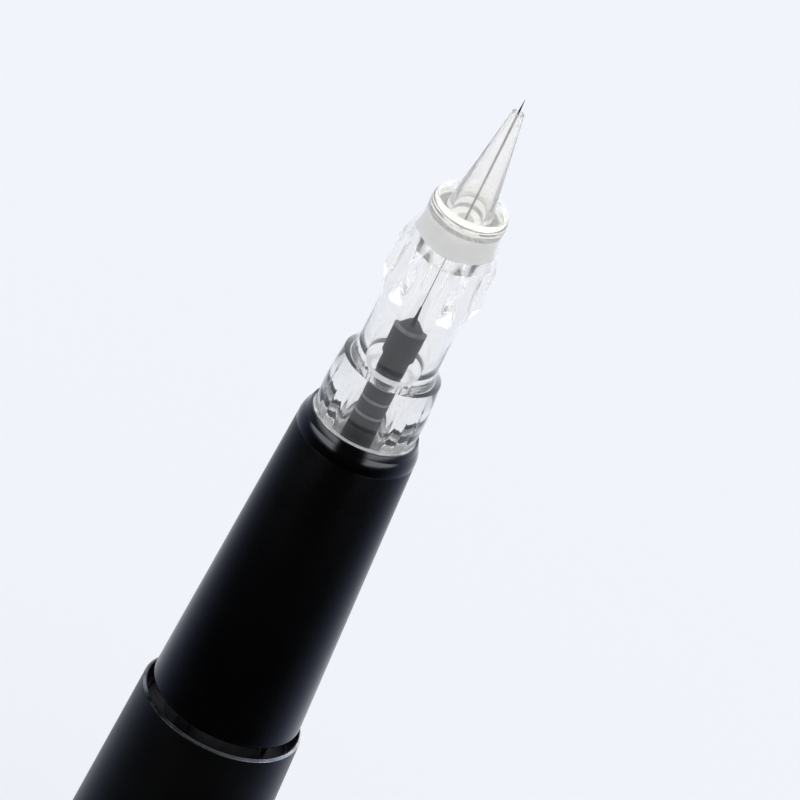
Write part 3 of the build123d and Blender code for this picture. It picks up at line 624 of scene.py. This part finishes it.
# %% [markdown]
# ## Turned shapes
# Nearly every piece of a pen is round. It could be stacked from cylinders and cones, but a lathe
# works from a section, and so does this: half of the section is drawn as a closed outline of
# radius and height, and is spun round the axis. Edges that a maker would break are then bevelled.

# %% Spinning an outline
STEPS = 180
CREASE = radians(32)
RING_SLACK = 0.004


def spin_outline(outline, steps=STEPS):
    """A closed solid of revolution from (radius, height) points in millimetres."""
    bm = bmesh.new()
    line = [bm.verts.new((r * MM, 0, z * MM)) for r, z in outline]
    for first, second in zip(line, line[1:] + line[:1]):
        if first.co.x > 0 or second.co.x > 0:
            bm.edges.new((first, second))
    bmesh.ops.spin(
        bm, geom=bm.verts[:] + bm.edges[:], cent=(0, 0, 0), axis=(0, 0, 1), angle=2 * pi,
        steps=steps, use_merge=True,
    )
    bmesh.ops.remove_doubles(bm, verts=bm.verts[:], dist=1e-7)
    bmesh.ops.dissolve_degenerate(bm, edges=bm.edges[:], dist=1e-8)
    bmesh.ops.recalc_face_normals(bm, faces=bm.faces[:])
    return bm


def from_axis(place):
    """How far a point stands from the pen's axis, in millimetres."""
    return hypot(place.x, place.y) / MM


def ring_edges(bm, r, z):
    """The circle of edges at that radius and height, in millimetres."""
    found = []
    for edge in bm.edges:
        if all(
            abs(vert.co.z / MM - z) < RING_SLACK and abs(from_axis(vert.co) - r) < RING_SLACK
            for vert in edge.verts
        ):
            found.append(edge)
    return found


def soften(bm, r, z, width, segments=3):
    """Rounds the circular edge at that radius and height."""
    edges = ring_edges(bm, r, z)
    bmesh.ops.bevel(
        bm, geom=edges, offset=width * MM, offset_type="OFFSET", affect="EDGES", segments=segments,
        profile=0.5, material=-1, clamp_overlap=True,
    )


# %% Making an object of a shape


def finish_piece(bm, name, body, stands_for, finishes):
    """Makes the mesh an object that rides on its body, in place of its mechanical piece."""
    for face in bm.faces:
        face.smooth = True
    for edge in bm.edges:
        edge.smooth = len(edge.link_faces) == 2 and edge.calc_face_angle(0.0) < CREASE
    mesh = bpy.data.meshes.new(name)
    bm.to_mesh(mesh)
    bm.free()
    for finish in finishes:
        mesh.materials.append(finish.material)
    piece = bpy.data.objects.new(name, mesh)
    scene.collection.objects.link(piece)
    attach(piece, body)
    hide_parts(*stands_for)
    print(name, len(mesh.polygons), "faces")
    return piece


# %% [markdown]
# ## Handle
# The handle is a tube with a parallel band at the back, a long taper, and a thin-walled mouth
# whose outer edge is cut after dyeing, so that a line of bare metal shows. That line could be
# painted on by a mask, but giving the narrow faces their own finish keeps it sharp at any
# distance.

# %% Barrel
band_r = radius("barrel_shell")
barrel_base = base("barrel_shell")
band_top = barrel_base + 19.0
SLIP = 0.02
bore_r = radius("liner_tube") + SLIP
mouth_bore_r = radius("retaining_ring") + SLIP
mouth_r = mouth_bore_r + 0.45
rim_cut = 0.3
seam_cut = 0.3
rib_top = rim_z - 5.4
rib_base = rib_top - 1.6
rib_r = bore_r - 0.7

barrel = spin_outline([
    (bore_r, barrel_base),
    (band_r - seam_cut, barrel_base),
    (band_r, barrel_base + seam_cut),
    (band_r, band_top),
    (mouth_r, rim_z - rim_cut),
    (mouth_r - rim_cut, rim_z),
    (mouth_bore_r, rim_z),
    (mouth_bore_r, rib_top),
    (rib_r, rib_top),
    (rib_r, rib_base),
    (bore_r, rib_base),
])
for face in barrel.faces:
    middle = face.calc_center_median()
    is_high = middle.z / MM > rim_z - rim_cut - 0.01
    face.material_index = 1 if is_high and from_axis(middle) > mouth_r - rim_cut else 0
soften(barrel, band_r, band_top, 2.0, 4)
soften(barrel, band_r, barrel_base + seam_cut, 0.08)
soften(barrel, mouth_r, rim_z - rim_cut, 0.04)
soften(barrel, mouth_r - rim_cut, rim_z, 0.05)
finish_piece(barrel, "barrel", "handle", ["barrel_shell"], [coarse, cut_edge])

# %% [markdown]
# ## Rear cap
# The cap closes the handle and carries the power inlet in a recess. Its spigot and seal ring hide
# in the handle. It could be a disc with a boolean hole, but one spun outline gives the recess, the
# groove and the bore together, and its outer edge is then rounded.

# %% Cap
flange = barrel_base
spigot_r = bore_r - SLIP
spigot_bore = spigot_r - 2.2
spigot_top = top("rear_cap")
web_base = top("inlet_sleeve") - 5.4
web_top = web_base + 3.0
inlet_hole_r = radius("inlet_sleeve") - 1.43
recess_r = 6.4
cap_edge = 1.2
groove_middle = (top("cap_seal_ring") + base("cap_seal_ring")) / 2
groove_half = 0.75
groove_r = spigot_r - 1.45

cap = spin_outline([
    (recess_r, 0.0),
    (band_r - cap_edge, 0.0),
    (band_r, cap_edge),
    (band_r, flange - seam_cut),
    (band_r - seam_cut, flange),
    (spigot_r, flange),
    (spigot_r, groove_middle - groove_half),
    (groove_r, groove_middle - groove_half),
    (groove_r, groove_middle + groove_half),
    (spigot_r, groove_middle + groove_half),
    (spigot_r, spigot_top),
    (spigot_bore, spigot_top),
    (spigot_bore, web_top),
    (inlet_hole_r, web_top),
    (inlet_hole_r, web_base),
    (recess_r, web_base),
])
soften(cap, band_r - cap_edge, 0.0, 0.6, 5)
soften(cap, band_r, cap_edge, 0.6, 5)
soften(cap, band_r, flange - seam_cut, 0.08)
soften(cap, recess_r, 0.0, 0.2)
finish_piece(cap, "cap", "handle", ["rear_cap"], [coarse])

# %% [markdown]
# ## Grip
# The grip tapers towards the cartridge. Its rear shoulder stands a little clear of the handle's
# mouth, because the grip screws in and out to set how far the needle shows. The round of that
# shoulder could be drawn as an arc, but a bevel of one edge is easier to change.

# %% Grip
grip_base = base("grip_shell")
grip_r = radius("grip_shell")
nose_base = top("grip_shell")
nose_r = 8.1
sleeve_bore = radius("thread_sleeve") + SLIP
friction_top = top("drive_frame") + 2.7
friction_bore = 7.0
seat_bore = radius("cartridge_seat") + SLIP
shoulder = 0.7

grip = spin_outline([
    (sleeve_bore, grip_base),
    (grip_r, grip_base),
    (nose_r, nose_base),
    (seat_bore, nose_base),
    (seat_bore, friction_top),
    (friction_bore, friction_top),
    (friction_bore, top("thread_sleeve")),
    (sleeve_bore, top("thread_sleeve")),
])
soften(grip, grip_r, grip_base, shoulder, 8)
soften(grip, nose_r, nose_base, 0.05, 2)
finish_piece(grip, "grip", "grip", ["grip_shell"], [anodised])

# %% [markdown]
# ## Nose ring
# The ring at the front of the grip has a convex shoulder, a bevel and a thin lip round the recess
# that the cartridge sits in. The shoulder could be a straight cone with a soft bevel, but only an
# arc gives the broad highlight. Two slots in the bore let the cartridge's lugs pass. A boolean
# suits them better than moving faces would, because they run out through both ends of the bore.

# %% Nose sizes and helpers
seat_end = top("cartridge_seat")
edge_z = mouth_z - 0.9
edge_r = 7.6
lip_r = 7.3
recess_way = 7.05
ledge_z = mouth_z - 1.0
bare_below = mouth_z - 0.35
nose_bore = 4.5
lug_r = 5.1
lug_w = 2.0
lug_way_r = lug_r + 0.3
slot_w = lug_w + 0.4
slot_past_end = 0.5
slot_corner = 0.2
pilot_r = seat_bore - SLIP
CROWN = 0.16
SHOULDER_POINTS = 7


def bulge(first, last, crown, count):
    """Points of an arc from first to last that stands out of its chord by crown."""
    run = Vector(last) - Vector(first)
    out = Vector((run.y, -run.x)).normalized()
    points = []
    for step in range(1, count):
        share = step / count
        points.append(tuple(Vector(first) + run * share + out * crown * 4 * share * (1 - share)))
    return points


def cut_away(bm, cutter):
    """The piece with the cutter's shape taken out of it. Both of the given meshes are used up."""
    solids = []
    for name, shape in (("piece_to_cut", bm), ("cutter", cutter)):
        mesh = bpy.data.meshes.new(name)
        shape.to_mesh(mesh)
        shape.free()
        solids.append(bpy.data.objects.new(name, mesh))
        bpy.context.scene.collection.objects.link(solids[-1])
    modifier = solids[0].modifiers.new("Slots", "BOOLEAN")
    modifier.operation = "DIFFERENCE"
    modifier.solver = "EXACT"
    modifier.object = solids[1]
    cut_solid = solids[0].evaluated_get(bpy.context.evaluated_depsgraph_get())
    result = bmesh.new()
    result.from_mesh(cut_solid.to_mesh())
    cut_solid.to_mesh_clear()
    for solid in solids:
        mesh = solid.data
        bpy.data.objects.remove(solid)
        bpy.data.meshes.remove(mesh)
    return result


def slot_cutter(reach, width, low, high, corner):
    """A bar across the axis, with its upright edges rounded, that cuts two opposite slots."""
    bar = bmesh.new()
    size = Matrix.Diagonal((2 * reach, width, high - low, 1))
    place = Matrix.Translation((0, 0, (low + high) / 2 * MM))
    bmesh.ops.create_cube(bar, size=MM, matrix=place @ size)
    upright = [edge for edge in bar.edges if abs(edge.verts[0].co.z - edge.verts[1].co.z) > MM]
    bmesh.ops.bevel(
        bar, geom=upright, offset=corner * MM, affect="EDGES", segments=3, profile=0.5, material=-1,
    )
    return bar


# %% Nose
shoulder_start = (nose_r, nose_base + SLIP)
shoulder_end = (edge_r, edge_z)
nose = spin_outline(
    [(nose_bore, seat_end), (pilot_r, seat_end), (pilot_r, nose_base + SLIP), shoulder_start]
    + bulge(shoulder_start, shoulder_end, CROWN, SHOULDER_POINTS)
    + [shoulder_end, (lip_r, mouth_z), (recess_way, mouth_z), (recess_way, bare_below),
       (recess_way, ledge_z), (nose_bore, ledge_z)]
)
soften(nose, edge_r, edge_z, 0.1)
soften(nose, lip_r, mouth_z, 0.06)
soften(nose, recess_way, mouth_z, 0.05)
nose = cut_away(nose, slot_cutter(
    lug_way_r, slot_w, seat_end - slot_past_end, ledge_z + slot_past_end, slot_corner,
))
for face in nose.faces:
    middle = face.calc_center_median()
    inside = from_axis(middle) < recess_way + SLIP and middle.z / MM < bare_below
    face.material_index = 1 if inside else 0
finish_piece(nose, "nose", "grip", ["nose_ring"], [polished, bare_bore])

# %% [markdown]
# ## Cartridge shell
# This is the piece that the eye goes to. One outline gives the outer skin, the solid skirt, the
# stem and the cavity. The finger lobes could be cut with four booleans, but clear plastic shows
# every uneven face, so the skin's rings are kept and moved out by a formula: a swelling along the
# pen, with a round scallop taken out of it at four sides. The fine lines of the skirt are shallow
# flutes, made in the same way, and the two lugs of the stem are extruded from its wall.

# %% Shell outline
shell_base = base("cartridge_shell")
SHELL_STEPS = 240
stem_bore = 2.75
stem_r = 4.2
skirt_foot = 6.75
waist_r = 5.35
front_z = mouth_z + 33.1
front_r = 5.1
socket_r = 4.25
socket_base = mouth_z + 26.8
cavity_r = 3.8
cavity_base = mouth_z + 8.1
lug_base = shell_base + 4.0
lug_top = lug_base + 3.0
LOBE_BASE = 17.5
LOBE_TOP = 32.4
LOBE_PEAK = 24.0
LOBE_R = 7.4
SCALLOP_R = 4.5
SCALLOP_COUNT = 4
RIDGE_SOFT = 0.9
LOBE_ROWS = 36
TAPER_ROW = 12


def smooth_curve(points, count):
    """Points along a smooth line through the given (radius, height) points."""
    result = []
    for index in range(len(points) - 1):
        before = Vector(points[max(index - 1, 0)])
        start_point, end_point = Vector(points[index]), Vector(points[index + 1])
        after = Vector(points[min(index + 2, len(points) - 1)])
        for step in range(count):
            t = step / count
            leave, arrive = (end_point - before) / 2, (after - start_point) / 2
            result.append(tuple(
                start_point * (2 * t ** 3 - 3 * t ** 2 + 1) + leave * (t ** 3 - 2 * t ** 2 + t)
                + end_point * (3 * t ** 2 - 2 * t ** 3) + arrive * (t ** 3 - t ** 2)
            ))
    return result + [points[-1]]


skirt_side = smooth_curve([(skirt_foot, ledge_z), (6.95, mouth_z + 3.6), (6.55, mouth_z + 8.9)], 6)
neck = [(5.62, mouth_z + 9.75), (5.5, mouth_z + 10.15)]
waist = smooth_curve(
    [(5.42, mouth_z + 10.8), (waist_r, mouth_z + 14.0), (waist_r, mouth_z + LOBE_BASE)], 4,
)
lobe_rows = []
for row in range(1, LOBE_ROWS + 1):
    narrowed = max(0, row - TAPER_ROW) / (LOBE_ROWS - TAPER_ROW)
    height = LOBE_BASE + (LOBE_TOP - LOBE_BASE) * row / LOBE_ROWS
    lobe_rows.append((waist_r + (front_r - waist_r) * narrowed, mouth_z + height))
outer_skin = skirt_side + neck + waist + lobe_rows + [(front_r, front_z)]
stem = [(stem_bore, shell_base)]
stem += [(stem_r, height) for height in (shell_base, lug_base, lug_top, ledge_z)]
inner_skin = [
    (socket_r, front_z), (socket_r, socket_base), (cavity_r, socket_base), (cavity_r, cavity_base),
    (stem_bore, cavity_base), (stem_bore, ledge_z),
]
shell = spin_outline(stem + outer_skin + inner_skin, SHELL_STEPS)
print("shell outline:", len(stem + outer_skin + inner_skin), "points")

# %% Formulas for the lobes and flutes


def eased(share):
    """A share from 0 to 1 that starts and ends gently."""
    return share * share * (3 - 2 * share)


def swelling(z):
    """The lobes' radius at a height above the grip's mouth, before the scallops."""
    if z <= LOBE_PEAK:
        return waist_r + (LOBE_R - waist_r) * eased((z - LOBE_BASE) / (LOBE_PEAK - LOBE_BASE))
    return LOBE_R + (front_r - LOBE_R) * eased((z - LOBE_PEAK) / (LOBE_TOP - LOBE_PEAK))


def scallop(angle):
    """How far out the scalloped wall stands at an angle round the pen."""
    sector = 2 * pi / SCALLOP_COUNT
    away = abs((angle + sector / 2) % sector - sector / 2)
    centre = waist_r + SCALLOP_R
    under = SCALLOP_R ** 2 - (centre * sin(away)) ** 2
    return centre * cos(away) - sqrt(under) if under > 0 else LOBE_R + 2


def soft_min(first, second, soft):
    """The smaller of two values, with the corner where they cross rounded off."""
    share = max(soft - abs(first - second), 0) / soft
    return min(first, second) - share * share * soft / 4


FLUTE_ANGLES = (30.0, 45.0, 60.0)
FLUTE_WIDTH = 3.2
FLUTE_DEPTH = 0.08
FLUTE_TOP = 8.5
FLUTE_FADE = 1.5


def flute(angle):
    """How much of a flute's depth is sunk at an angle round the pen."""
    away = (angle * 180 / pi) % 90
    return sum(exp(-((away - middle) / FLUTE_WIDTH) ** 2) for middle in FLUTE_ANGLES)


# %% Moving the skin
for vert in shell.verts:
    z = vert.co.z / MM - mouth_z
    r = from_axis(vert.co)
    if ledge_z - mouth_z - 0.01 < z < FLUTE_TOP and r > 6.2:
        fade = min(1.0, (FLUTE_TOP - z) / FLUTE_FADE)
        sink = 1 - FLUTE_DEPTH * fade * flute(atan2(vert.co.y, vert.co.x)) / r
        vert.co.x *= sink
        vert.co.y *= sink
    if LOBE_BASE < z < LOBE_TOP and r > socket_r + 0.3:
        out = soft_min(swelling(z), scallop(atan2(vert.co.y, vert.co.x)), RIDGE_SOFT)
        grow = max(out, r) / r
        vert.co.x *= grow
        vert.co.y *= grow

# %% Lugs and the finish of each part
# The faces that a lug grows from stay inside it, as a hidden wall.
for side in (-1, 1):
    pad = []
    for face in shell.faces:
        x, y, z = face.calc_center_median() / MM
        if lug_base < z < lug_top and stem_r - 0.1 < side * x and abs(y) < lug_w / 2:
            pad.append(face)
    for item in bmesh.ops.extrude_face_region(shell, geom=pad)["geom"]:
        if isinstance(item, bmesh.types.BMVert):
            item.co.x = side * lug_r * MM
HAZY, MATT, SOFT = 1, 2, 3
for face in shell.faces:
    middle = face.calc_center_median()
    z = middle.z / MM
    r = from_axis(middle)
    on_socket_floor = abs(z - socket_base) < 0.05 and r < socket_r
    if z < ledge_z + 0.01 or on_socket_floor or abs(z - cavity_base) < 0.05:
        face.material_index = MATT
    elif z > socket_base and r < front_r + 0.02:
        face.material_index = HAZY
    elif mouth_z + LOBE_BASE < z and r > waist_r + 0.1:
        face.material_index = SOFT
finish_piece(
    shell, "clear_shell", "cartridge", ["cartridge_shell"], [clear, hazy, matt, soft_clear],
)

# %% [markdown]
# ## Tip and insert
# The long hollow cone stands in a dish with a raised rim, and guides the needle at its end. Cone,
# dish and rim could be three pieces, but they are one moulding, and an inner face between clear
# pieces would show as a false line. The milky insert fills the socket under it. Both are as wide
# as the socket and a hair more, as a press fit is, so that no thin layer of air is left to shine.

# %% Tip
dish_z = front_z + 0.2
crest_z = front_z + 1.5
cone_end = top("cartridge_tip")
plug_base = front_z - 1.1
pressed_r = socket_r + SLIP
funnel_r = 2.4
cone_foot_r = 3.1
cone_end_r = 0.82
needle_way_r = 0.4
dish_r = 4.2
crest_in_r = 4.5
crest_out_r = 4.7
rim_r = 5.05
step_z = front_z + 0.675
step_half = 0.15
step_depth = 0.2

tip = spin_outline([
    (funnel_r, plug_base),
    (pressed_r, plug_base),
    (pressed_r, front_z),
    (rim_r, front_z),
    (rim_r, step_z - step_half),
    (rim_r - step_depth, step_z),
    (rim_r, step_z + step_half),
    (crest_out_r, crest_z),
    (crest_in_r, crest_z),
    (dish_r, dish_z),
    (cone_foot_r, dish_z),
    (cone_end_r, cone_end),
    (needle_way_r, cone_end),
    (funnel_r, dish_z),
])
soften(tip, crest_out_r, crest_z, 0.09)
soften(tip, crest_in_r, crest_z, 0.06)
soften(tip, cone_foot_r, dish_z, 0.5, 5)
soften(tip, dish_r, dish_z, 0.2, 3)
finish_piece(tip, "clear_tip", "cartridge", ["cartridge_tip"], [clear_tip])

# %% Insert
insert_base = front_z - 4.7
guide_r = 1.2

insert = spin_outline([
    (guide_r, insert_base),
    (pressed_r, insert_base),
    (pressed_r, plug_base),
    (guide_r, plug_base),
])
soften(insert, pressed_r, insert_base, 0.25, 3)
finish_piece(insert, "insert", "cartridge", ["tip_insert"], [milky])

# %% [markdown]
# ## Plunger, needle and bead
# The plunger is moulded in one piece with wiper rings in its grooves. The rings could be pieces of
# their own, but through the wavy skirt only light lines show along them, so the floors of the
# grooves get a lighter grey: the rings' grey with a painted highlight for those lines. The top
# chamfer of the head gets a lighter grey too, a painted edge highlight with some scuff wear. The
# needle is cast into the head, and a bead of glue that leans a little, as a drop does, holds it
# there.

# %% Plunger
tail_z = base("plunger")
head_z = top("plunger")
tail_r = 1.7
tail_reach = 5.3
rod_r = 2.0
groove_floor_r = 1.6
groove_half_w = 0.2
neck_r = 1.85
head_r = 2.2
head_base = mouth_z + 11.0
grooves = ((2.5, rod_r), (4.6, rod_r), (6.9, neck_r))

tail_top = tail_z + tail_reach
outline = [(0, tail_z), (tail_r, tail_z), (tail_r, tail_top), (rod_r, tail_top)]
for height, next_r in grooves:
    low, high = mouth_z + height - groove_half_w, mouth_z + height + groove_half_w
    outline += [(rod_r, low), (groove_floor_r, low), (groove_floor_r, high), (next_r, high)]
outline += [(neck_r, head_base), (head_r, head_base), (head_r, head_z), (0, head_z)]
rod = spin_outline(outline, 72)
soften(rod, head_r, head_z, 0.4, 4)
soften(rod, head_r, head_base, 0.08)
RING, SCUFFS_AND_HIGHLIGHT = 1, 2
for face in rod.faces:
    middle = face.calc_center_median()
    # Groove floors: the wiper rings' grey with a painted highlight for their light lines.
    if mouth_z < middle.z / MM < mouth_z + 7.2 and from_axis(middle) < 1.95:
        face.material_index = RING
    # Top chamfer of the head: painted edge highlight with some scuff wear.
    elif middle.z / MM > head_z - 0.39 and from_axis(middle) > 1.75:
        face.material_index = SCUFFS_AND_HIGHLIGHT
finish_piece(
    rod, "plunger_rod", "needle_bar", ["plunger"], [charcoal, wiper_grey_and_painted_highlight, scuffs_and_edge_highlight],
)

# %% Needle
needle_r = 0.16
taper_z = point_z - 2.6
sharp_r, sharp_z = 0.09, point_z - 1.1
point_r = 0.02

wire = spin_outline([
    (0, base("needle")), (needle_r, base("needle")), (needle_r, taper_z), (sharp_r, sharp_z),
    (point_r, point_z), (0, point_z),
], 24)
finish_piece(wire, "needle_wire", "needle_bar", ["needle"], [needle_steel])

# %% Bead
BEAD_R = 0.30
BEAD_LEAN = 0.12
bead_top = top("needle_collar")
bead_len = bead_top - head_z
bead_bore = 0.1

bead = spin_outline([
    (bead_bore, head_z),
    (BEAD_R + 0.12, head_z),
    (BEAD_R, head_z + 0.15),
    (BEAD_R - 0.03, head_z + 0.6 * bead_len),
    (BEAD_R + 0.06, head_z + 0.78 * bead_len),
    (BEAD_R + 0.07, head_z + 0.9 * bead_len),
    (BEAD_R - 0.06, bead_top),
    (bead_bore, bead_top),
], 32)
for vert in bead.verts:
    share = max(0.0, (vert.co.z / MM - head_z) / bead_len)
    vert.co.x -= BEAD_LEAN * MM * share ** 2
finish_piece(bead, "glue_bead", "needle_bar", ["needle_collar"], [charcoal])

# %% [markdown]
# ## Sizes and the last line
# The mechanical box and the finished box are printed side by side. They could be compared
# here, but the script only prints them.

# %% Print the sizes and finish
visual_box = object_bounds()
for label, box in (("cad", cad_box), ("visual", visual_box)):
    print(label, [tuple(round(value, 5) for value in corner) for corner in box])
